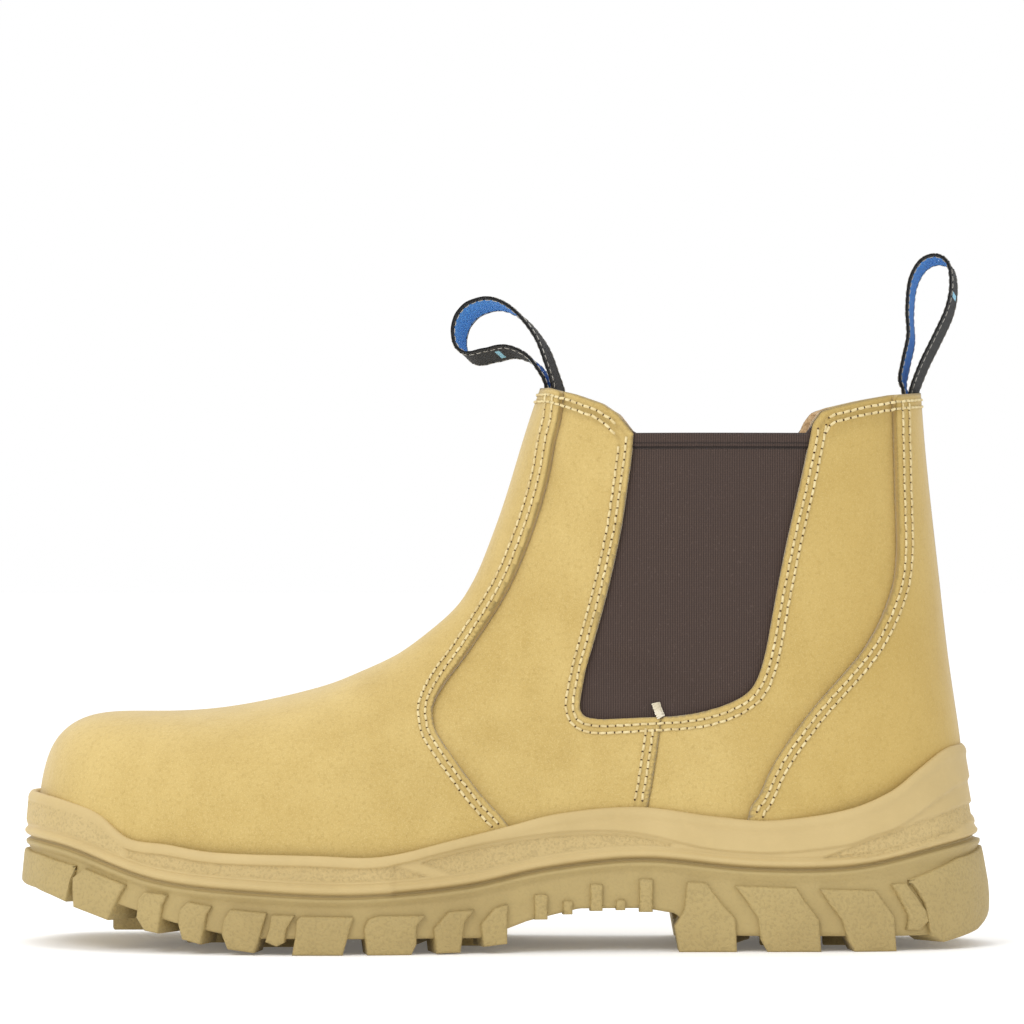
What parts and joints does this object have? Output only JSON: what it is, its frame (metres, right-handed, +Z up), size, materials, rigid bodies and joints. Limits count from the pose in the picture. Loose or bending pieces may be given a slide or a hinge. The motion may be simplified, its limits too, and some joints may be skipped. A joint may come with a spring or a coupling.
{
  "type": "steel toe work boot",
  "caption": "Slip-on ankle work boot in tan suede with a hidden steel toe cap, dark elastic side gores, webbing pull loops front and rear, and a lugged tan sole",
  "frame": {"origin": "on the ground at the middle of the boot's length and width", "axes": "+Z up, toe towards -X, heel towards +X, outer side of this left boot towards -Y"},
  "size_m": [0.3095, 0.1125, 0.2204],
  "materials": {
    "suede": "napped suede, matt",
    "midsole": "moulded polyurethane, satin, pebbled panels",
    "tread": "moulded polyurethane, fine matt texture",
    "elastic_gore": "ribbed woven elastic",
    "webbing": "woven tape, black outside and blue inside",
    "lining": "brushed lining fabric",
    "footbed_foam": "moulded foam",
    "footbed_fabric": "knitted cover",
    "board": "pressed fibre board",
    "stiffener": "thermoformed sheet",
    "edge_foam": "soft foam strip",
    "cap_steel": "epoxy coated pressed steel",
    "shank_steel": "plain spring steel"
  },
  "bodies": {
    "boot": {"outsole_rear": "tread", "midsole_rear": "midsole", "steel_shank": "shank_steel", "insole_board": "board", "footbed": "footbed_foam", "footbed_top_cover": "footbed_fabric", "heel_counter_stiffener": "stiffener", "vamp_flex": "suede", "vamp_instep": "suede", "front_quarter_outer": "suede", "front_quarter_inner": "suede", "rear_quarter_outer": "suede", "rear_quarter_inner": "suede", "back_panel": "suede", "gore_outer": "elastic_gore", "gore_inner": "elastic_gore", "vamp_lining": "lining", "quarter_lining_outer": "lining", "quarter_lining_inner": "lining", "heel_lining": "lining"},
    "forefoot": {"outsole_forefoot": "tread", "midsole_forefoot": "midsole", "steel_toe_cap": "cap_steel", "toe_cap_edge_strip": "edge_foam", "vamp_toe": "suede"},
    "front_loop": {"front_pull_loop": "webbing"},
    "rear_loop": {"rear_pull_loop": "webbing"}
  },
  "joints": [
    {"name": "forefoot_flex", "type": "hinge", "parent": "boot", "child": "forefoot", "pos_m": [-0.0455, 0, 0.032], "axis": [0, 1, 0], "range_deg": [0, 30], "stiffness_Nm_per_rad": 12, "deforming": ["vamp_flex", "vamp_lining", "insole_board", "footbed", "footbed_top_cover"]},
    {"name": "front_loop_fold", "type": "hinge", "parent": "boot", "child": "front_loop", "pos_m": [0.0164, 0, 0.1793], "axis": [0, 1, 0], "range_deg": [-25, 30]},
    {"name": "rear_loop_fold", "type": "hinge", "parent": "boot", "child": "rear_loop", "pos_m": [0.1295, 0, 0.178], "axis": [0, 1, 0], "range_deg": [-30, 30]}
  ]
}
